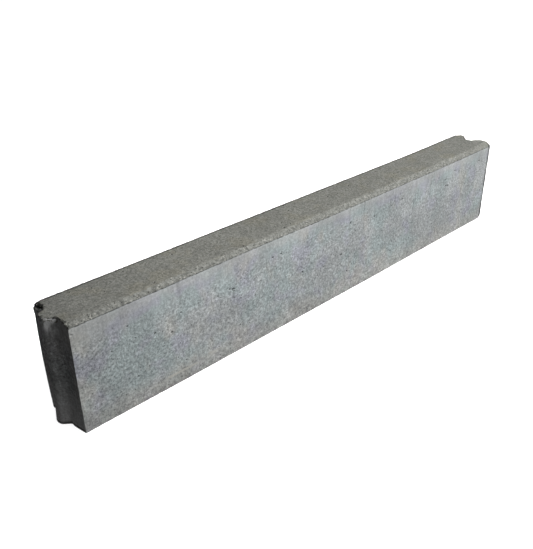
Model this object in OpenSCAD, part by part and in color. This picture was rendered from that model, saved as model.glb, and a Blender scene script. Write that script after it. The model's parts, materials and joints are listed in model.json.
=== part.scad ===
// Precast concrete edging kerb, pressed in two layers, with a tongue at one end and a groove
// at the other, so that each kerb in a row keys into the next.
// X runs along the kerb from tongue to groove, the front face looks towards -Y, and Z is up.
// The origin is on the base, midway between the end shoulders and midway between the long faces.

/* [Kerb] */
// Laying length, from shoulder to shoulder
laying_length = 1000; // [250:50:1000]
// Thickness, from front face to back face
kerb_thickness = 80; // [75:1:120]
// Height, from base to top face
kerb_height = 175; // [100:5:300]

/* [Top edges] */
// Width of the front bevel across the top
bevel_width = 10; // [4:1:20]
// Drop of the front bevel down the front face
bevel_drop = 4.5; // [2:0.5:12]
// Size of the small arris along the back of the top
back_arris = 2; // [1:0.5:4]

/* [Facing concrete] */
// Depth of the facing concrete below the top face
facing_depth = 20; // [15:1:40]

/* [Tongue and groove] */
// Distance of the tongue and groove behind the middle of the thickness
key_offset = 4.5; // [0:0.5:6]
// Reach of the tongue beyond its shoulders
tongue_reach = 15; // [8:1:17]
// Width of the tongue at its root
tongue_root = 36; // [30:1:38]
// Width of the tongue at its crest
tongue_crest = 12; // [10:1:14]
// Depth of the groove below its shoulders
groove_depth = 18; // [18:1:22]
// Width of the groove at its mouth
groove_mouth = 40; // [40:1:46]
// Width of the groove at its floor
groove_floor = 11; // [10:1:12]

/* [Rounding] */
// Radius at the tongue's crest and the groove's floor
key_radius = 4; // [2:0.5:4]
// Radius where the tongue and groove meet their shoulders
shoulder_radius = 3; // [1:0.5:4]
// Radius of the four upright outer edges
upright_radius = 1.5; // [1:0.5:3]

/* [Hidden] */
arc_steps = 6;
half_length = laying_length / 2;
half_thickness = kerb_thickness / 2;
seam_height = kerb_height - facing_depth;

// Each corner of the outline seen from above is [x, y, radius], counterclockwise.
plan_corners = concat(
    [
        [-half_length, -half_thickness, upright_radius],
        [half_length, -half_thickness, upright_radius],
    ],
    [
        [half_length, key_offset - groove_mouth / 2, shoulder_radius],
        [half_length - groove_depth, key_offset - groove_floor / 2, key_radius],
        [half_length - groove_depth, key_offset + groove_floor / 2, key_radius],
        [half_length, key_offset + groove_mouth / 2, shoulder_radius],
    ],
    [
        [half_length, half_thickness, upright_radius],
        [-half_length, half_thickness, upright_radius],
    ],
    [
        [-half_length, key_offset + tongue_root / 2, shoulder_radius],
        [-half_length - tongue_reach, key_offset + tongue_crest / 2, key_radius],
        [-half_length - tongue_reach, key_offset - tongue_crest / 2, key_radius],
        [-half_length, key_offset - tongue_root / 2, shoulder_radius],
    ]
);

// Outline of the cross-section, as [y, z]: base, back face, back arris, top face and bevel.
section_outline = [
    [-half_thickness, 0],
    [half_thickness, 0],
    [half_thickness, kerb_height - back_arris],
    [half_thickness - back_arris, kerb_height],
    [-half_thickness + bevel_width, kerb_height],
    [-half_thickness, kerb_height - bevel_drop],
];

function place(corner) = [corner.x, corner.y];

function unit(v) = v / norm(v);

function turned(v, angle) = [
    v.x * cos(angle) - v.y * sin(angle),
    v.x * sin(angle) + v.y * cos(angle),
];

// Points of the arc that rounds one corner between its two straight edges
function corner_arc(before, corner, after, radius) =
    let (
        back = unit(before - corner),
        ahead = unit(after - corner),
        half_angle = acos(back * ahead) / 2,
        centre = corner + unit(back + ahead) * radius / sin(half_angle),
        start = corner + back * radius / tan(half_angle) - centre,
        sweep = sign(cross(-back, ahead)) * (180 - 2 * half_angle)
    )
    [for (step = [0 : arc_steps]) centre + turned(start, sweep * step / arc_steps)];

function rounded_outline(corners) =
    let (count = len(corners))
    [
        for (i = [0 : count - 1])
            each corner_arc(
                place(corners[(i + count - 1) % count]),
                place(corners[i]),
                place(corners[(i + 1) % count]),
                corners[i][2]
            )
    ];

// A level slice of the kerb, between two heights
module kerb_slice(from_height, to_height) {
    full_length = laying_length + 2 * tongue_reach + 2;
    intersection() {
        translate([0, 0, from_height])
            linear_extrude(to_height - from_height)
                polygon(rounded_outline(plan_corners));
        translate([-full_length / 2, 0, 0])
            rotate([90, 0, 90])
                linear_extrude(full_length)
                    polygon(section_outline);
    }
}

// Structural concrete that fills the mould from the base up to the seam
module backing_concrete() {
    color([0.60, 0.62, 0.62])
        kerb_slice(0, seam_height);
}

// Fine sandy concrete pressed on top, with the bevel and the top of the tongue and groove
module facing_concrete() {
    color([0.49, 0.48, 0.44])
        kerb_slice(seam_height, kerb_height);
}

backing_concrete();
facing_concrete();
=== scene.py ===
"""Looks of a precast concrete edging kerb: its two pressed layers, their grain, pits, chips and stains."""
import json
import math
import random

import bmesh
import bpy
from mathutils import Matrix, Vector, kdtree, noise


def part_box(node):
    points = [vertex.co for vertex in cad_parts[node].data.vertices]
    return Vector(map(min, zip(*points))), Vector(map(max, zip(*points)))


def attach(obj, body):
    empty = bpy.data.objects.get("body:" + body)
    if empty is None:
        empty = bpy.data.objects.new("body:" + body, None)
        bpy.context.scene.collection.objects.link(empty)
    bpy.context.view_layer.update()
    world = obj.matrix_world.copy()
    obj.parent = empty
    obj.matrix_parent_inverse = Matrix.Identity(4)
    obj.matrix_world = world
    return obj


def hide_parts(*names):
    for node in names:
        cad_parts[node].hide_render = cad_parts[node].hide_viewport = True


MM = 0.001

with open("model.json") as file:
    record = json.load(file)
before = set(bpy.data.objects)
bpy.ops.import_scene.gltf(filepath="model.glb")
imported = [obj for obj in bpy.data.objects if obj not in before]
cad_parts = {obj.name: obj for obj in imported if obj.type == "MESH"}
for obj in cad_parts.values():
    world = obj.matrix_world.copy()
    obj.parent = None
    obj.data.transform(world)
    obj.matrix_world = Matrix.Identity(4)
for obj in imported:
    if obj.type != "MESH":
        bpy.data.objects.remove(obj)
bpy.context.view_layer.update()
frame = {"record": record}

# ---------------------------------------------------------------- sizes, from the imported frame

BACKING_LOW, BACKING_HIGH = (Vector(corner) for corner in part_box("backing_concrete"))
FACING_LOW, FACING_HIGH = (Vector(corner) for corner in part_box("facing_concrete"))
MOUNTS = {mount["name"]: mount for mount in frame["record"]["mounts"]}

SHOULDER = BACKING_HIGH.x                    # both end shoulders stand this far from the middle
FRONT, BACK = BACKING_LOW.y, BACKING_HIGH.y
SEAM, TOP = FACING_LOW.z, FACING_HIGH.z
KEY_LINE = MOUNTS["tongue"]["pos_m"][1]      # centre line of the tongue and of the groove
TONGUE_REACH = -SHOULDER - BACKING_LOW.x
TONGUE_ROOT, TONGUE_CREST = 36 * MM, 12 * MM
GROOVE_DEPTH, GROOVE_MOUTH, GROOVE_FLOOR = 18 * MM, 40 * MM, 11 * MM
BEVEL_WIDTH, BEVEL_DROP = 10 * MM, 4.5 * MM

# ---------------------------------------------------------------- grid of the blocks

ARRIS_STEPS = (0.7 * MM, 1.5 * MM, 2.4 * MM, 3.6 * MM)   # grid lines beside an arris
BACKING_STEP = Vector((2.25, 2.0, 2.3)) * MM
FACING_STEP = Vector((1.35, 1.35, 1.35)) * MM
ARRIS_ZONE = 2.6 * MM                        # reach of the rounding on each side of an arris
ROUNDED_ABOVE = (0.0, SEAM)                  # one rounding pass all over, and one more at the top


def graded(low, high, step, fine_low=True, fine_high=True):
    """Positions from low to high, even in the middle and closer together beside an arris."""
    first = low + (ARRIS_STEPS[-1] if fine_low else 0)
    last = high - (ARRIS_STEPS[-1] if fine_high else 0)
    count = max(1, round((last - first) / step))
    middle = [first + (last - first) * i / count for i in range(count + 1)]
    below = [low + s for s in (0, *ARRIS_STEPS[:-1])] if fine_low else []
    above = [high - s for s in (*ARRIS_STEPS[-2::-1], 0)] if fine_high else []
    return below + middle + above


def gridded_block(lines):
    """A closed block of quads with its grid lines at the given x, y and z positions."""
    bm = bmesh.new()
    bmesh.ops.create_cube(bm, size=1)
    for axis in range(3):
        along = [e for e in bm.edges if abs(e.verts[0].co[axis] - e.verts[1].co[axis]) > 0.5]
        bmesh.ops.subdivide_edges(bm, edges=along, cuts=len(lines[axis]) - 2, use_grid_fill=True)
    for vert in bm.verts:
        for axis in range(3):
            place = (vert.co[axis] + 0.5) * (len(lines[axis]) - 1)
            vert.co[axis] = lines[axis][round(place)]
    return bm


# ---------------------------------------------------------------- shape of the mould

END_BLEND = 55 * MM                          # the grid follows the tongue and groove over this length
PROUD_BACK = 6.3 * MM                        # how far the tongue end's back shoulder stands out
FOOT_HEIGHT = 38 * MM                        # the foot of the tongue end has slumped below this
BACK_BOW = 1.2 * MM                          # how far the back stands out all along
EXTRA_DROP = 2.1 * MM                        # how much deeper the bevel is towards the groove end
FRONT_FOOT_BOW = 1.8 * MM                    # how far the front's foot stands out in the middle
END_RISE = 2.3 * MM                          # how far the top rises at the groove end
END_STRETCH = 3.0 * MM                       # how far the groove end lies past its nominal place
WANDER = 0.5 * MM                            # how far the long faces wander to and fro


def clamp(value):
    return min(1.0, max(0.0, value))


def smooth(value):
    value = clamp(value)
    return value * value * (3 - 2 * value)


def soft_ramp(t, softness=0.1):
    """0 below 0 and 1 above 1, straight between, with both bends rounded."""
    def bend(s):
        if s <= -softness:
            return 0.0
        if s >= softness:
            return s
        return (s + softness) ** 2 / (4 * softness)
    return 1 - bend(1 - bend(t))


def key_profile(y, root, crest):
    """How far the tongue or groove has risen at y, from 0 at its shoulders to 1 at its crest."""
    return soft_ramp((root / 2 - abs(y - KEY_LINE)) / (root / 2 - crest / 2))


def wave(x, length, seed):
    """A slow wander along the kerb, between -1 and 1."""
    return noise.noise(Vector((x / length, seed, 0.37 * seed)))


def slumped_foot(y, stand):
    """How much further out than stand the foot of the tongue end reaches at y."""
    crest = 16.0 * MM + 0.22 * y
    back_flank = 22.4 * MM - 0.58 * y
    spread = min(crest, back_flank) * smooth((y + 6 * MM) / (5 * MM))
    return max(0.0, spread - stand)


def tongue_end(y, z):
    """How far the tongue end stands out beyond its shoulder plane."""
    belly = 1.4 * MM * 4 * z / TOP * (1 - z / TOP)
    top_edge = 1.0 * MM * smooth((z - SEAM) / (14 * MM))
    back_shoulder = (PROUD_BACK + belly + top_edge) * smooth((y - KEY_LINE - 8 * MM) / (18 * MM))
    tongue = TONGUE_REACH * key_profile(y, TONGUE_ROOT, TONGUE_CREST)
    foot = smooth(1 - z / FOOT_HEIGHT)
    front_flare = 4.5 * MM * foot * clamp((y - FRONT) / (24 * MM))
    stand = max(tongue, back_shoulder if y > KEY_LINE else front_flare)
    return stand + foot * slumped_foot(y, stand)


def groove_end(y):
    """How far the groove end is cut back from its shoulder plane."""
    return GROOVE_DEPTH * key_profile(y, GROOVE_MOUTH, GROOVE_FLOOR)


def back_bow(x):
    """How far the back stands out, growing a little towards the groove end."""
    return BACK_BOW + 0.4 * MM * smooth((x - 250 * MM) / (180 * MM))


def bevel_drop(x):
    """How far the bevel falls, which is more over the groove end's half of the kerb."""
    return BEVEL_DROP + EXTRA_DROP * smooth((x + 210 * MM) / (220 * MM))


def foot_bow(x):
    """How far the foot of the front stands out, most along the middle of the kerb."""
    return FRONT_FOOT_BOW * smooth((x + 620 * MM) / (300 * MM)) * smooth((400 * MM - x) / (350 * MM))


def groove_end_rise(x):
    """How far the top rises towards the groove end."""
    return END_RISE * smooth((x - 330 * MM) / (170 * MM))


def groove_end_stretch(x):
    """How far the groove end lies past its nominal place."""
    return END_STRETCH * smooth((x - 380 * MM) / (100 * MM))


def moulded(flat):
    """Where a point of the plain block lies once the block has its bevel, tongue, groove and bow."""
    x, y, z = flat
    top_here = TOP - bevel_drop(x) * clamp(1 - (y - FRONT) / BEVEL_WIDTH)
    if z > SEAM:
        z = SEAM + (z - SEAM) * (top_here - SEAM) / (TOP - SEAM)
    x -= tongue_end(y, z) * smooth(1 - (x + SHOULDER) / END_BLEND)
    x -= groove_end(y) * smooth(1 - (SHOULDER - x) / END_BLEND)
    wander = WANDER * wave(x, 0.31, 1.7)
    back = back_bow(x) * smooth((y + 20 * MM) / (60 * MM))
    foot = foot_bow(x) * smooth(1 - z / (70 * MM)) * smooth(-y / (40 * MM))
    y += wander + back - foot
    lift = 0.8 * WANDER * wave(x, 0.27, 5.2) + groove_end_rise(x)
    z += lift * smooth((z - SEAM) / (TOP - SEAM))
    x += groove_end_stretch(x)
    return Vector((x, y, z))


def arris_distance(flat):
    """Distance along the surface from the nearest outer arris."""
    gaps = sorted((
        min(flat.x + SHOULDER, SHOULDER - flat.x),
        min(flat.y - FRONT, BACK - flat.y),
        min(flat.z, TOP - flat.z),
    ))
    return gaps[1]


# ---------------------------------------------------------------- relief of the surface

LIP_DEPTH = 0.45 * MM                        # how far the step under the bevel is set back
LIP_WANDER = 0.9 * MM                        # how far that step wanders up and down
BACK_WEAR = 0.45                             # wear of the back's arrises, as a share of the others'
END_TOP_WEAR, END_SIDE_WEAR = 5.0, 0.6       # and of the tongue end's, above and below the seam
BEVEL_FADE = (335 * MM, 445 * MM)            # the bevel loses its coarseness between these x
WEAR_REACH = 4.5 * MM                        # width of the worn band beside an arris

# broken corners: corner, direction out of the kerb, depth along it, reach, roughness, and the strength of
# painted shade and dirt on the broken face
CHIPS = (
    ((-SHOULDER - 8 * MM, BACK, TOP), (-0.50, 0.05, 0.86), 5.3 * MM, 28 * MM, 1.7 * MM, 1.0),
    ((-SHOULDER - TONGUE_REACH, KEY_LINE + 6 * MM, 0), (-1.0, 1.0, -0.5), 0.5 * MM, 8 * MM, 0.5 * MM, 0.2),
    ((-SHOULDER, FRONT, TOP - BEVEL_DROP), (-1.0, -0.5, 0.4), 1.5 * MM, 17 * MM, 0.9 * MM, 0.3),
    ((SHOULDER, FRONT, 0), (0.6, -0.3, -1.0), 2.4 * MM, 17 * MM, 0.5 * MM, 0.2),
    ((SHOULDER, BACK, TOP), (0.8, 1.0, 0.7), 1.6 * MM, 11 * MM, 0.5 * MM, 0.2),
)


def fractal(point, size, octaves=3):
    """Layered noise, between about -1 and 1, whose largest lumps measure about size."""
    return noise.fractal(point / size, 1.0, 2.0, octaves)


def chipped(point):
    """The point moved back onto the broken face of any chip that it lies beyond, and how much painted shade
    and dirt that face takes.
    """
    shade_and_dirt = 0.0
    for corner, outward, depth, reach, roughness, darkness in CHIPS:
        offset = point - Vector(corner)
        if offset.length > reach:
            continue
        direction = Vector(outward).normalized()
        beyond = offset.dot(direction) + depth + roughness * fractal(point, 5 * MM)
        if beyond > 0:
            lost = beyond * smooth(2.5 * (1 - offset.length / reach))
            point = point - direction * lost
            shade_and_dirt = max(shade_and_dirt, darkness * smooth(lost / (1.0 * MM)))
    return point, shade_and_dirt


def openness(flat):
    """1 on the open sandy top and its bevel, 0 on the mould-smooth sides."""
    return smooth((flat.z - (TOP - 1.2 * MM)) / (1.1 * MM))


def bevelness(flat):
    """1 on the coarse bevel along the front arris, fading out near the groove end; 0 elsewhere."""
    start, end = BEVEL_FADE
    fading = smooth((end - flat.x) / (end - start))
    return openness(flat) * fading * smooth((FRONT + 0.9 * BEVEL_WIDTH - flat.y) / (2.0 * MM))


def rimness(flat):
    """1 along the back and groove-end arrises of the top and the far arris of the front, where painted shade
    goes.
    """
    past_top = 1 - (TOP - flat.z) / (2.5 * MM)
    beside_end = 1.8 - max(SHOULDER - flat.x, 2 * (flat.y - FRONT)) / (5.0 * MM)
    beside_top = min(past_top, 1.8 - min(BACK - flat.y, SHOULDER - flat.x) / (3.0 * MM))
    return smooth(max(beside_top, beside_end))


def bitten(flat):
    """1 on the tongue end's top arris, falling to 0 a few millimetres in, where its edge is bitten."""
    return openness(flat) * clamp(1 - (flat.x + SHOULDER) / (6.0 * MM))


def relief(flat, where):
    """Height of the surface above the mould's own, in metres; mostly below zero."""
    open_top = openness(flat)
    sides = 0.14 * MM * fractal(where, 34 * MM, 2) + 0.08 * MM * fractal(where, 6 * MM, 2)
    grain = 0.26 * MM * fractal(where, 4.5 * MM, 3) + 0.12 * MM * fractal(where, 19 * MM, 2)
    height = sides + (grain - sides) * open_top + 0.15 * MM
    height += 0.40 * MM * fractal(where, 3.6 * MM, 2) * bevelness(flat)
    arris = smooth(1 - arris_distance(flat) / WEAR_REACH)
    if arris > 0:
        wear = 0.35 + 0.65 * smooth(10 * (flat.z / SEAM - 0.9))
        wear *= BACK_WEAR if flat.y > BACK - 4 * MM else 1.0
        if flat.x < -SHOULDER + 4 * MM:
            wear *= END_TOP_WEAR if flat.z > SEAM else END_SIDE_WEAR
        nicks = max(0.0, fractal(where + Vector((9, 9, 9)), 8 * MM, 3) - 0.2)
        crumbs = max(0.0, fractal(where + Vector((5, 5, 5)), 3.2 * MM, 2) - 0.1)
        height -= arris * wear * (1.5 * MM * nicks + 1.1 * MM * crumbs)
    return height - LIP_DEPTH * lip(flat)


def lip(flat):
    """1 in the small rough step that the press leaves just under the bevel's foot, 0 elsewhere."""
    if flat.y > FRONT + 0.1 * MM:
        return 0.0
    below = TOP - flat.z + LIP_WANDER * wave(flat.x, 0.007, 3.1)
    return smooth(0.3 + below / (0.8 * MM)) * smooth(2.4 - below / (1.3 * MM))


def arris_verts(bm, flat_layer, low_edge):
    """The vertices beside the outer arrises, from the height low_edge up."""
    return [
        v for v in bm.verts
        if v[flat_layer].z >= low_edge and arris_distance(v[flat_layer]) < ARRIS_ZONE
    ]


def scattered_pits(rng, count, region, smallest, largest):
    """Air holes as (centre, radius, depth), scattered over a box on the surface."""
    pits = []
    low, high = region
    for _ in range(count):
        centre = Vector(rng.uniform(a, b) for a, b in zip(low, high))
        radius = smallest + (largest - smallest) * rng.random() ** 2.5
        pits.append((centre, radius, radius * rng.uniform(0.6, 1.1)))
    return pits


def pits_at(places, face_y):
    """Larger air holes at chosen places on a side, as distance along it, height and radius."""
    return [
        (Vector((-SHOULDER + along * MM, face_y, up * MM)), radius * MM, 0.9 * radius * MM)
        for along, up, radius in places
    ]


def sink_pits(bm, pits):
    """Splits the grid around each air hole and pushes the hole into the surface."""
    tree = kdtree.KDTree(len(bm.verts))
    for vert in bm.verts:
        tree.insert(vert.co, vert.index)
    tree.balance()
    bm.verts.ensure_lookup_table()
    near = set()
    for centre, radius, _ in pits:
        near.update(index for _, index, _ in tree.find_range(centre, radius * 1.5 + 1.2 * MM))
    inside = {bm.verts[index] for index in near}
    edges = [e for e in bm.edges if e.verts[0] in inside and e.verts[1] in inside]
    bmesh.ops.subdivide_edges(bm, edges=edges, cuts=2, use_grid_fill=True)
    bm.normal_update()
    tree = kdtree.KDTree(len(bm.verts))
    bm.verts.index_update()
    bm.verts.ensure_lookup_table()
    for vert in bm.verts:
        tree.insert(vert.co, vert.index)
    tree.balance()
    depth_layer = bm.verts.layers.float["pit"]
    for centre, radius, depth in pits:
        for place, index, distance in tree.find_range(centre, radius * 1.4):
            ragged = radius * (1 + 0.3 * fractal(place, 1.5 * MM, 2))
            dip = smooth(1.25 * (1 - distance / ragged))
            vert = bm.verts[index]
            vert.co -= vert.normal * depth * dip
            vert[depth_layer] = max(vert[depth_layer], dip)


# ---------------------------------------------------------------- building the two layers

SURFACE_SHARES = {"open_face": openness, "bevel": bevelness, "rim": rimness, "lip": lip, "bitten": bitten}


def cast_block(name, low_z, high_z, step, seam_z, pits):
    """One cast layer of the kerb, from its grid to its finished surface."""
    lines = (
        graded(-SHOULDER, SHOULDER, step.x),
        graded(FRONT, BACK, step.y),
        graded(low_z, high_z, step.z, fine_low=low_z != seam_z, fine_high=high_z != seam_z),
    )
    bm = gridded_block(lines)
    flat_layer = bm.verts.layers.float_vector.new("flat")
    share_layers = {share: bm.verts.layers.float.new(share) for share in SURFACE_SHARES}
    broken_layer = bm.verts.layers.float.new("broken")
    bm.verts.layers.float.new("pit")
    seam_faces = [f for f in bm.faces if all(abs(v.co.z - seam_z) < 1e-7 for v in f.verts)]
    bmesh.ops.delete(bm, geom=seam_faces, context="FACES")
    for vert in bm.verts:
        vert[flat_layer] = vert.co
        for share, measured in SURFACE_SHARES.items():
            vert[share_layers[share]] = measured(vert.co)
        vert.co = moulded(vert.co)
    for low_edge in ROUNDED_ABOVE:
        bmesh.ops.smooth_vert(
            bm, verts=arris_verts(bm, flat_layer, low_edge), factor=0.5,
            use_axis_x=True, use_axis_y=True, use_axis_z=True,
        )
    for vert in bm.verts:
        vert.co, vert[broken_layer] = chipped(vert.co)
    bm.normal_update()
    for vert in bm.verts:
        vert.co += vert.normal * relief(vert[flat_layer], vert.co)
    bm.verts.index_update()
    sink_pits(bm, pits)
    for vert in bm.verts:
        if abs(vert[flat_layer].z - seam_z) < 1e-7:
            vert.co.z = seam_z
        vert.co.z = max(vert.co.z, 0.0)
    close_seam(bm)
    return finished(bm, name)


def close_seam(bm):
    """Closes the layer with a flat face where it meets the other layer."""
    rim = [e for e in bm.edges if e.is_boundary]
    for face in bm.faces:
        face.smooth = True
    for face in bmesh.ops.edgeloop_fill(bm, edges=rim)["faces"]:
        face.smooth = False
    for edge in rim:
        edge.smooth = False
    bmesh.ops.recalc_face_normals(bm, faces=bm.faces)


def scene_object(bm, name):
    """An object of this name in the scene, from a bmesh."""
    mesh = bpy.data.meshes.new(name)
    bm.to_mesh(mesh)
    bm.free()
    made = bpy.data.objects.new(name, mesh)
    bpy.context.scene.collection.objects.link(made)
    return made


def finished(bm, name):
    """A piece of the kerb, from a bmesh."""
    piece = scene_object(bm, name)
    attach(piece, "root")
    return piece


GRAIN_CORNERS = 12                           # corners of one grain
GRAIN_DOUBLINGS = 12                         # one grain doubled this often makes 4096
GRAIN_RADII = (0.45 * MM, 1.1 * MM)


def sunk_grains(rng, facing, name):
    """Sand grains half sunk in the open face, thickest on the bevel; each has its own tone."""
    seats = [
        (vert.co.copy(), vert.normal.copy(), is_bevel.value)
        for vert, is_open, is_bevel in zip(
            facing.data.vertices,
            facing.data.attributes["open_face"].data,
            facing.data.attributes["bevel"].data,
        )
        if is_open.value > 0.5
    ]
    bm = bmesh.new()
    bmesh.ops.create_icosphere(bm, subdivisions=1, radius=1)
    for _ in range(GRAIN_DOUBLINGS):
        bmesh.ops.duplicate(bm, geom=bm.verts[:] + bm.edges[:] + bm.faces[:])
    tone_layer = bm.verts.layers.float.new("tone")
    bm.verts.ensure_lookup_table()
    smallest, largest = GRAIN_RADII
    for first in range(0, len(bm.verts), GRAIN_CORNERS):
        seat, outward, is_bevel = rng.choice(seats)
        while is_bevel < 0.5 and rng.random() < 0.55:
            seat, outward, is_bevel = rng.choice(seats)
        radius = smallest + (largest - smallest) * rng.random() ** 2
        stretch = Vector(rng.uniform(0.7, 1.2) for _ in range(3)) * radius
        turn = Matrix.Rotation(rng.uniform(0, math.tau), 3, "Z")
        centre = seat - outward * radius * rng.uniform(0.35, 0.7)
        tone = rng.random()
        for vert in bm.verts[first:first + GRAIN_CORNERS]:
            vert.co = centre + turn @ (vert.co * stretch)
            vert[tone_layer] = tone
    for face in bm.faces:
        face.smooth = True
    return finished(bm, name)


# ---------------------------------------------------------------- materials

class Graph:
    """A material's node tree, with one short method for each kind of node used here."""

    def __init__(self, name):
        self.material = bpy.data.materials.new(name)
        self.material.use_nodes = True
        self.tree = self.material.node_tree
        self.shader = self.tree.nodes["Principled BSDF"]
        self.object_place = self.node("ShaderNodeTexCoord").outputs["Object"]

    def node(self, kind, inputs=None, **settings):
        made = self.tree.nodes.new(kind)
        for key, value in settings.items():
            setattr(made, key, value)
        for key, value in (inputs or {}).items():
            self.feed(made.inputs[key], value)
        return made

    def feed(self, socket, value):
        if isinstance(value, bpy.types.NodeSocket):
            self.tree.links.new(value, socket)
        else:
            socket.default_value = value

    def stretched(self, x, y, z):
        """Object coordinates scaled on each axis, for streaks."""
        return self.node(
            "ShaderNodeMapping", {"Vector": self.object_place, "Scale": (x, y, z)}
        ).outputs["Vector"]

    def noise(self, size, detail=2.0, roughness=0.5, place=None):
        """Noise from 0 to 1 whose lumps measure about size metres."""
        return self.node("ShaderNodeTexNoise", {
            "Vector": place or self.object_place, "Scale": 1 / size,
            "Detail": detail, "Roughness": roughness,
        }).outputs["Fac"]

    def cells(self, size):
        return self.node("ShaderNodeTexVoronoi", {"Vector": self.object_place, "Scale": 1 / size})

    def attribute(self, name):
        return self.node("ShaderNodeAttribute", attribute_name=name).outputs["Fac"]

    def span(self, value, low, high, to_low=0.0, to_high=1.0):
        """Value's stretch from low to high, mapped smoothly onto to_low to to_high."""
        return self.node("ShaderNodeMapRange", {
            "Value": value, "From Min": low, "From Max": high, "To Min": to_low, "To Max": to_high,
        }, interpolation_type="SMOOTHSTEP").outputs["Result"]

    def math(self, operation, a, b=0.0):
        return self.node("ShaderNodeMath", {0: a, 1: b}, operation=operation).outputs[0]

    def axis(self, letter):
        return self.node("ShaderNodeSeparateXYZ", {0: self.object_place}).outputs[letter]

    def tongue_end_share(self):
        """1 on the tongue end, past its shoulder plane, and 0 along the kerb."""
        return self.span(self.axis("X"), -SHOULDER + 1.0 * MM, -SHOULDER - 0.5 * MM)

    def both(self, a, b):
        return self.math("MULTIPLY", a, b)

    def mottled(self, colour, size, swing, detail=2.0, place=None):
        """Colour made lighter and darker, by up to swing, in lumps of about size metres."""
        tone = self.span(self.noise(size, detail, 0.6, place), 0.3, 0.7, 1 - swing, 1 + swing)
        return self.mix(1.0, colour, tone, "MULTIPLY")

    def specks(self, spacing, radius, share):
        """1 in round specks of about radius metres, in the given share of cells spacing apart."""
        cell = self.cells(spacing)
        inside = self.span(cell.outputs["Distance"], radius / spacing, 0.45 * radius / spacing)
        pick = self.node("ShaderNodeSeparateColor", {0: cell.outputs["Color"]}).outputs[0]
        return self.both(inside, self.math("LESS_THAN", pick, share))

    def mix(self, factor, a, b, blend="MIX"):
        return self.node(
            "ShaderNodeMix", {0: factor, 6: a, 7: b}, data_type="RGBA", blend_type=blend
        ).outputs[2]

    def bump(self, height, distance, strength=1.0, under=None):
        inputs = {"Height": height, "Distance": distance, "Strength": strength}
        if under:
            inputs["Normal"] = under
        return self.node("ShaderNodeBump", inputs).outputs["Normal"]

    def finish(self, colour, roughness, normal):
        self.feed(self.shader.inputs["Base Color"], colour)
        self.feed(self.shader.inputs["Roughness"], roughness)
        self.feed(self.shader.inputs["Normal"], normal)
        self.shader.inputs["Specular IOR Level"].default_value = 0.3
        return self.material


# colours of the concretes, of the dirt and scuffs on them, and of the shade painted on them
WHITE = (1.0, 1.0, 1.0, 1)
GREY = (0.425, 0.445, 0.448, 1)
TEAL_GREY = (0.385, 0.438, 0.440, 1)
SLATE_GREY = (0.405, 0.418, 0.462, 1)
WARM_GREY = (0.462, 0.456, 0.428, 1)
PALE_STRIP = (0.485, 0.495, 0.488, 1)
# painted shadow in the step under the bevel
LIP_SHADOW = (0.10, 0.105, 0.10, 1)
SCUFF = (0.56, 0.55, 0.50, 1)
SAND = (0.250, 0.252, 0.228, 1)
WARM_SAND = (0.260, 0.256, 0.218, 1)
SAND_PALE = (0.40, 0.40, 0.37, 1)
BEVEL_SAND = (0.252, 0.256, 0.235, 1)
PORE = (0.10, 0.105, 0.10, 1)
# near-black painted shade, for arrises, bites, gaps, voids and a contact shadow
PAINTED_SHADE = (0.045, 0.047, 0.042, 1)
# painted shade and dirt of the broken faces of the chips
BROKEN_SHADE_AND_DIRT = (0.022, 0.024, 0.020, 1)


def darker_towards_tongue_end(graph, colour):
    """Darkens the kerb near the tongue end, and a damp band along the foot of that half."""
    lean = graph.span(graph.axis("Z"), 160 * MM, 40 * MM, 0.0, 90 * MM)
    place = graph.math("SUBTRACT", graph.axis("X"), lean)
    # darker towards the tongue end, reaching further along the kerb low down
    darkening = graph.span(place, -SHOULDER - 40 * MM, -SHOULDER + 190 * MM, 0.82, 1.0)
    colour = graph.mix(1.0, colour, darkening, "MULTIPLY")
    foot_length = graph.both(
        graph.span(graph.axis("X"), -SHOULDER + 130 * MM, -SHOULDER + 240 * MM),
        graph.span(graph.axis("X"), -SHOULDER + 640 * MM, -SHOULDER + 540 * MM),
    )
    foot_height = graph.span(graph.axis("Z"), 48 * MM, 26 * MM)
    foot = graph.span(graph.both(foot_length, foot_height), 0, 1, 1.0, 0.93)
    return graph.mix(1.0, colour, foot, "MULTIPLY")


def end_streaks_and_painted_light(graph, colour, open_face):
    """Greys and streaks the tongue end, with painted light from below on its lower half and a painted
    contact shadow along its foot.
    """
    on_end = graph.both(graph.tongue_end_share(), graph.math("SUBTRACT", 1.0, open_face))
    strength = graph.span(on_end, 0, 1, 1.0, 0.3)
    greyed = graph.node("ShaderNodeHueSaturation", {"Color": colour, "Saturation": strength})
    colour = greyed.outputs["Color"]
    streaked = graph.mottled(colour, 5 * MM, 0.22, 3, graph.stretched(1, 1, 0.3))
    colour = graph.mix(on_end, colour, streaked)
    # painted light: white mixed into the lower half of the end, as light off the floor would lift it
    low = graph.span(graph.axis("Z"), 95 * MM, 10 * MM, 0.0, 0.30)
    colour = graph.mix(graph.both(on_end, low), colour, WHITE)
    # painted contact shadow: near-black along the foot of the tongue end
    foot = graph.span(graph.axis("Z"), 7.0 * MM, 1.5 * MM, 0.0, 0.85)
    return graph.mix(graph.both(on_end, foot), colour, PAINTED_SHADE)


def arris_painted_shade(graph, colour):
    """Painted shade in a line along the back and groove-end arrises, and in bites along the tongue end's."""
    patchy = graph.span(graph.noise(30 * MM, 3), 0.35, 0.6, 0.5, 0.9)
    # painted shade along the rounded back and groove-end arrises, in patches
    colour = graph.mix(graph.both(graph.attribute("rim"), patchy), colour, PAINTED_SHADE)
    # painted shade in the jagged bites along the tongue end's top arris
    jagged = graph.span(graph.noise(3.4 * MM, 3, 0.6), 0.3, 0.7, -0.75, 0.45)
    bites = graph.span(graph.math("ADD", graph.attribute("bitten"), jagged), 0.5, 0.7, 0.0, 0.85)
    return graph.mix(bites, colour, PAINTED_SHADE)


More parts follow.
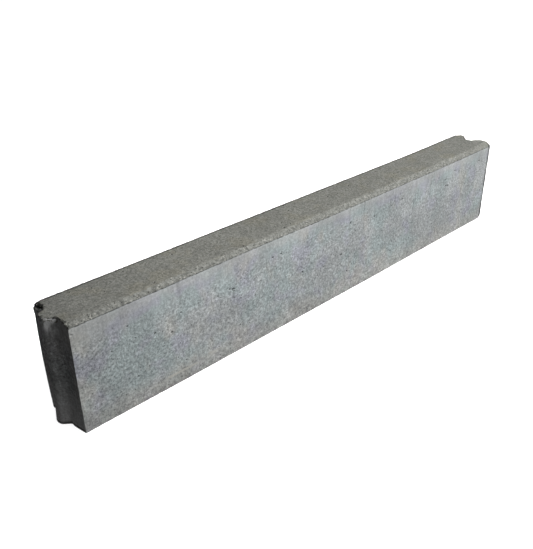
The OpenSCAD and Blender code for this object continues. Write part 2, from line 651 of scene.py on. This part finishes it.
def painted_flank_highlight(graph, colour, open_face):
    """A painted highlight: a paler patch mixed towards white on the tongue's front flank, just under the
    top.
    """
    across = graph.axis("Y")
    flank = graph.both(
        graph.span(across, KEY_LINE - 12.5 * MM, KEY_LINE - 8 * MM),
        graph.span(across, KEY_LINE - 4 * MM, KEY_LINE - 7.5 * MM),
    )
    under_top = graph.span(graph.axis("Z"), 140 * MM, 173 * MM, 0.0, 0.15)
    # painted highlight, fading down from just under the top of the flank
    rub_and_highlight = graph.both(graph.both(graph.tongue_end_share(), flank), under_top)
    side = graph.math("SUBTRACT", 1.0, open_face)
    return graph.mix(graph.both(rub_and_highlight, side), colour, WHITE)


def side_colour(graph):
    """Mould-smooth concrete: cool cloudy grey, paler near the top and warmer at the foot."""
    up = graph.axis("Z")
    colour = graph.mix(graph.span(graph.noise(70 * MM, 3), 0.4, 0.6), GREY, TEAL_GREY)
    slate = graph.span(graph.noise(46 * MM, 2), 0.5, 0.66)
    colour = graph.mix(slate, colour, SLATE_GREY)
    warm = graph.span(graph.noise(58 * MM, 2, place=graph.stretched(1.2, 1, 0.8)), 0.54, 0.7, 0.0, 0.7)
    colour = graph.mix(warm, colour, WARM_GREY)
    wander = graph.span(graph.noise(24 * MM, 3), 0, 1, -10 * MM, 10 * MM)
    edge_height = graph.math("ADD", up, wander)
    colour = graph.mix(graph.span(edge_height, 42 * MM, 12 * MM, 0.0, 0.6), colour, WARM_GREY)
    strip = graph.span(edge_height, TOP - 26 * MM, TOP - 10 * MM, 0.0, 0.65)
    colour = graph.mix(strip, colour, PALE_STRIP)
    rise = graph.span(edge_height, 30 * MM, 165 * MM, 0.955, 1.06)
    colour = graph.mix(1.0, colour, rise, "MULTIPLY")
    colour = graph.mottled(colour, 60 * MM, 0.105, 2)
    colour = graph.mottled(colour, 6 * MM, 0.05, 3, graph.stretched(1, 1, 0.07))
    drips = graph.both(
        graph.span(graph.noise(9 * MM, 2, 0.5, graph.stretched(1, 1, 0.06)), 0.6, 0.72, 0.0, 0.22),
        graph.span(up, 105 * MM, 150 * MM),
    )
    return graph.mix(drips, colour, PORE)


def lip_line(graph, colour, along):
    """Painted shadow in a broken line in the step under the bevel, with black dots of painted shade where it
    is deepest.
    """
    in_step = graph.attribute("lip")
    near_end = graph.span(along, -SHOULDER + 330 * MM, -SHOULDER + 180 * MM, 0.95, 1.0)
    breaks = graph.both(graph.span(graph.noise(7 * MM, 3, 0.7), 0.33, 0.56, 0.45, 1.0), near_end)
    # painted shadow in the step under the bevel's foot
    colour = graph.mix(graph.both(in_step, breaks), colour, LIP_SHADOW)
    # black dots of painted shade in the deepest gaps of the step
    dots = graph.both(graph.specks(7.5 * MM, 2.6 * MM, 0.4), near_end)
    return graph.mix(graph.both(in_step, dots), colour, PAINTED_SHADE)


def side_marks(graph, colour):
    """The fine marks of the sides: speckle, pores as dark specks of painted shade, a painted shadow line
    under the bevel and pale scuffs.
    """
    along, across, up = graph.axis("X"), graph.axis("Y"), graph.axis("Z")
    rough = graph.mottled(colour, 10 * MM, 0.075, 2)
    rough = graph.mottled(rough, 4.4 * MM, 0.25, 2)
    rough = graph.mottled(rough, 2.4 * MM, 0.25, 2)
    rough = graph.mix(graph.both(graph.specks(5.5 * MM, 1.5 * MM, 0.35), 0.7), rough, PALE_STRIP)
    # painted shade: dark specks standing for pores of the sides
    rough = graph.mix(graph.both(graph.specks(7.0 * MM, 1.7 * MM, 0.4), 0.65), rough, PORE)
    edge_height = graph.math("ADD", up, graph.span(graph.noise(30 * MM, 3), 0, 1, -25 * MM, 25 * MM))
    laitance = graph.span(edge_height, TOP - 50 * MM, TOP - 15 * MM, 0.0, 0.6)
    colour = graph.mix(laitance, rough, colour)
    colour = lip_line(graph, colour, along)
    on_front = graph.math("LESS_THAN", across, 0.0)
    rub_and_highlight = graph.span(graph.noise(5 * MM, 3, 0.6, graph.stretched(0.09, 1, 1)), 0.5, 0.64)
    rubbed_length = graph.both(
        graph.span(along, -SHOULDER + 70 * MM, -SHOULDER + 95 * MM),
        graph.span(along, -SHOULDER + 250 * MM, -SHOULDER + 215 * MM),
    )
    rubbed_height = graph.both(
        graph.span(up, 14 * MM, 18 * MM), graph.span(up, 29 * MM, 24 * MM)
    )
    scuffs = graph.both(graph.both(rub_and_highlight, on_front), graph.both(rubbed_length, rubbed_height))
    return graph.mix(graph.both(scuffs, 0.8), colour, SCUFF)


def open_colour(graph):
    """Open facing: brown-grey sand and cement with pores in clusters, painted as dark specks of painted
    shade, and pale grains.
    """
    colour = graph.mix(graph.span(graph.noise(45 * MM, 2), 0.5, 0.66), SAND, WARM_SAND)
    near_end = graph.span(graph.axis("X"), -SHOULDER, -SHOULDER + 230 * MM, 0.93, 0.99)
    colour = graph.mix(1.0, colour, near_end, "MULTIPLY")
    colour = graph.mottled(colour, 55 * MM, 0.05, 1)
    colour = graph.mottled(colour, 12 * MM, 0.07, 2)
    colour = graph.mottled(colour, 4.0 * MM, 0.18, 2)
    colour = graph.mottled(colour, 2.2 * MM, 0.22, 2)
    colour = graph.mix(graph.both(graph.specks(4.2 * MM, 1.2 * MM, 0.3), 0.55), colour, SAND_PALE)
    clusters = graph.span(graph.noise(32 * MM, 2), 0.42, 0.66, 0.15, 0.9)
    # painted shade: dark specks standing for pores too small to model
    pores = graph.both(graph.specks(5.2 * MM, 1.6 * MM, 0.5), clusters)
    return graph.mix(pores, colour, PORE)


def bevel_colour(graph):
    """The bevel: paler and coarser than the top, where the press has dragged cement over sand."""
    colour = graph.mottled(BEVEL_SAND, 14 * MM, 0.10, 2)
    colour = graph.mottled(colour, 4.5 * MM, 0.34, 2)
    colour = graph.mix(graph.both(graph.specks(4.0 * MM, 1.5 * MM, 0.42), 0.7), colour, SCUFF)
    # painted shade: near-black specks standing for the small voids of the coarse bevel
    return graph.mix(graph.both(graph.specks(5.0 * MM, 1.6 * MM, 0.45), 0.85), colour, PAINTED_SHADE)


def surface_of(graph, colour, open_face):
    """Painted shade in the pits and painted shade and dirt on the broken faces, then bump and roughness,
    over the colour.
    """
    # painted shade in the air holes, darkest at their middle
    colour = graph.mix(graph.both(graph.attribute("pit"), 0.9), colour, PORE)
    # painted shade and dirt on the broken faces of the chips
    colour = graph.mix(graph.both(graph.attribute("broken"), 0.92), colour, BROKEN_SHADE_AND_DIRT)
    fine = graph.noise(1.1 * MM, 4, 0.7)
    coarse = graph.noise(4.2 * MM, 3, 0.6)
    normal = graph.bump(coarse, 0.6 * MM, graph.span(open_face, 0, 1, 0.4, 0.9))
    normal = graph.bump(fine, 0.25 * MM, graph.span(open_face, 0, 1, 0.4, 1.0), normal)
    roughness = graph.span(graph.noise(20 * MM, 2), 0.3, 0.7, 0.82, 0.95)
    return graph.finish(colour, roughness, normal)


def overhung(graph, open_face):
    """The open face, with ragged teeth of its sand hanging over the arris of the tongue end."""
    on_end = graph.span(graph.axis("X"), -SHOULDER + 3.0 * MM, -SHOULDER + 0.5 * MM)
    ragged = graph.span(graph.noise(3.2 * MM, 3, 0.6), 0.35, 0.65, -4.5 * MM, 6.5 * MM)
    teeth = graph.span(graph.math("ADD", graph.axis("Z"), ragged), TOP - 2.4 * MM, TOP - 1.6 * MM)
    return graph.math("MAXIMUM", open_face, graph.both(on_end, teeth))


def concrete(name):
    """Both concretes in one finish: smooth on the mould's sides and sandy where the face is open."""
    graph = Graph(name)
    open_face, bevel = overhung(graph, graph.attribute("open_face")), graph.attribute("bevel")
    sides = side_marks(graph, side_colour(graph))
    ragged = graph.math("ADD", bevel, graph.span(graph.noise(4.5 * MM, 2), 0.3, 0.7, -0.45, 0.45))
    sandy = graph.mix(graph.span(ragged, 0.35, 0.65), open_colour(graph), bevel_colour(graph))
    colour = darker_towards_tongue_end(graph, graph.mix(open_face, sides, sandy))
    # painted shade along the arrises and in bites, then painted light and a painted contact shadow on the
    # tongue end
    colour = end_streaks_and_painted_light(graph, arris_painted_shade(graph, colour), open_face)
    # painted highlight on the tongue's front flank
    colour = painted_flank_highlight(graph, colour, open_face)
    return surface_of(graph, colour, open_face)


def grain_stone(name):
    """Single sand grains, from dark stone to pale quartz by each grain's tone."""
    graph = Graph(name)
    colour = graph.mix(graph.span(graph.attribute("tone"), 0.1, 0.6), PORE, SAND)
    colour = graph.mix(graph.span(graph.attribute("tone"), 0.6, 1.0), colour, SCUFF)
    colour = graph.mottled(colour, 1.2 * MM, 0.15, 2)
    normal = graph.bump(graph.noise(0.8 * MM, 3, 0.6), 0.1 * MM)
    return graph.finish(colour, 0.8, normal)


# ---------------------------------------------------------------- making the kerb

rng = random.Random(41)

# air holes of the front: distance from the tongue end's shoulder, height and radius, in millimetres
LARGE_HOLES = (
    (268, 115, 3.4), (262, 118, 2.2), (238, 116, 1.8), (170, 118, 1.9), (92, 112, 1.4),
    (520, 82, 3.0), (537, 43, 2.6), (542, 137, 2.2), (842, 123, 3.0), (849, 121, 2.8),
    (313, 27, 2.4), (318, 33, 1.8), (285, 32, 2.0), (870, 148, 2.2), (963, 146, 2.4),
)

SMALLEST_PIT = 0.9 * MM
PIT_TOP = SEAM - 4 * MM                      # no air hole of the sides is centred above this

front_pits = pits_at(LARGE_HOLES, FRONT) + scattered_pits(
    rng, 70, ((-SHOULDER, FRONT, 0), (SHOULDER, FRONT, PIT_TOP)), SMALLEST_PIT, largest=2.6 * MM
)
back_pits = scattered_pits(
    rng, 60, ((-SHOULDER, BACK, 0), (SHOULDER, BACK, PIT_TOP)), SMALLEST_PIT, largest=2.8 * MM
)
top_pits = scattered_pits(
    rng, 90, ((-SHOULDER, FRONT + BEVEL_WIDTH, TOP), (SHOULDER, BACK, TOP)), SMALLEST_PIT, largest=2.2 * MM
)

backing = cast_block("backing_block", 0.0, SEAM, BACKING_STEP, SEAM, front_pits + back_pits)
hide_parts("backing_concrete")
facing = cast_block("facing_layer", SEAM, TOP, FACING_STEP, SEAM, top_pits)
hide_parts("facing_concrete")

grains = sunk_grains(rng, facing, "facing_grains")

cast_finish = concrete("cast_concrete")
backing.data.materials.append(cast_finish)
facing.data.materials.append(cast_finish)
grains.data.materials.append(grain_stone("grain_stone"))


# ---------------------------------------------------------------- floor, light and camera

STUDIO_RADIUS = 30                           # half the floor's side, in metres
BACKDROP_RADIUS = 28
FLOOR_SUN = 3.2                              # strength of the light that only the floor receives
AIR_LIGHT = 0.065                            # strength of the even light from all round
KERB_MIDDLE = (0, 0, 0.1)

CAMERA_PLACE = (-0.7812, -0.7041, 0.6310)
CAMERA_HEADING, CAMERA_PITCH, CAMERA_ROLL = 42.58, -27.25, -0.78
CAMERA_LENS, CAMERA_SENSOR = 43.07, 36
CAMERA_SHIFT = (0.0084, -0.0502)


def soft_light(name, place, size, watts):
    """A round soft light aimed at the middle of the kerb."""
    lamp = bpy.data.lights.new(name, "AREA")
    lamp.shape = "DISK"
    lamp.size = size
    lamp.energy = watts
    holder = bpy.data.objects.new(name, lamp)
    bpy.context.scene.collection.objects.link(holder)
    holder.location = place
    holder.rotation_euler = (Vector(KERB_MIDDLE) - Vector(place)).to_track_quat("-Z", "Y").to_euler()


def painted(name, **inputs):
    """A plain paint, with the given values on its shader."""
    paint = bpy.data.materials.new(name)
    paint.use_nodes = True
    shader = paint.node_tree.nodes["Principled BSDF"]
    for key, value in inputs.items():
        shader.inputs[key.replace("_", " ")].default_value = value
    return paint


def pale_floor():
    """A wide pale floor that throws no light back onto the kerb."""
    bm = bmesh.new()
    bmesh.ops.create_grid(bm, x_segments=8, y_segments=8, size=STUDIO_RADIUS)
    floor = scene_object(bm, "studio_floor")
    floor.data.materials.append(painted("pale_floor", Base_Color=(0.9, 0.9, 0.9, 1), Roughness=1.0))
    floor.visible_diffuse = floor.visible_glossy = False
    return floor


def pale_backdrop():
    """A white dome far behind everything, which only the camera sees."""
    bm = bmesh.new()
    bmesh.ops.create_uvsphere(bm, u_segments=48, v_segments=24, radius=BACKDROP_RADIUS)
    bmesh.ops.reverse_faces(bm, faces=bm.faces)
    backdrop = scene_object(bm, "studio_backdrop")
    backdrop.data.materials.append(painted(
        "white_backdrop",
        Base_Color=(0, 0, 0, 1), Emission_Color=WHITE, Emission_Strength=1.0,
    ))
    backdrop.visible_diffuse = backdrop.visible_glossy = backdrop.visible_shadow = False


def only(name, thing):
    """A collection that holds one object, for a light's receivers or blockers."""
    alone = bpy.data.collections.new(name)
    alone.objects.link(thing)
    return alone


def even_floor_light(floor):
    """A sun that only the floor receives, and that the kerb doesn't block, so the floor is even."""
    lamp = bpy.data.lights.new("floor_light", "SUN")
    lamp.energy = FLOOR_SUN
    holder = bpy.data.objects.new("floor_light", lamp)
    bpy.context.scene.collection.objects.link(holder)
    holder.light_linking.receiver_collection = only("lit_by_floor_light", floor)
    holder.light_linking.blocker_collection = only("shaded_by_floor_light", floor)


def studio_air():
    """An even, weak light from all round."""
    world = bpy.data.worlds.new("studio_air")
    world.use_nodes = True
    background = world.node_tree.nodes["Background"]
    background.inputs["Color"].default_value = WHITE
    background.inputs["Strength"].default_value = AIR_LIGHT
    bpy.context.scene.world = world


def studio_camera():
    """Stands off the tongue end, in front of the kerb and above it."""
    view = bpy.data.cameras.new("studio_camera")
    view.lens = CAMERA_LENS
    view.sensor_width = CAMERA_SENSOR
    view.shift_x, view.shift_y = CAMERA_SHIFT
    holder = bpy.data.objects.new("studio_camera", view)
    bpy.context.scene.collection.objects.link(holder)
    turn = (
        Matrix.Rotation(-math.radians(CAMERA_HEADING), 4, "Z")
        @ Matrix.Rotation(math.radians(90 + CAMERA_PITCH), 4, "X")
        @ Matrix.Rotation(math.radians(CAMERA_ROLL), 4, "Z")
    )
    holder.matrix_world = Matrix.Translation(CAMERA_PLACE) @ turn
    bpy.context.scene.camera = holder


even_floor_light(pale_floor())
pale_backdrop()
soft_light("key_light", place=(1.7, -2.7, 3.2), size=1.6, watts=215)
soft_light("front_fill", place=(0.2, -4.0, 0.9), size=2.0, watts=15)
soft_light("back_fill", place=(1.2, 3.5, 0.9), size=2.0, watts=30)
studio_air()
bpy.context.scene.view_settings.view_transform = "Standard"
studio_camera()
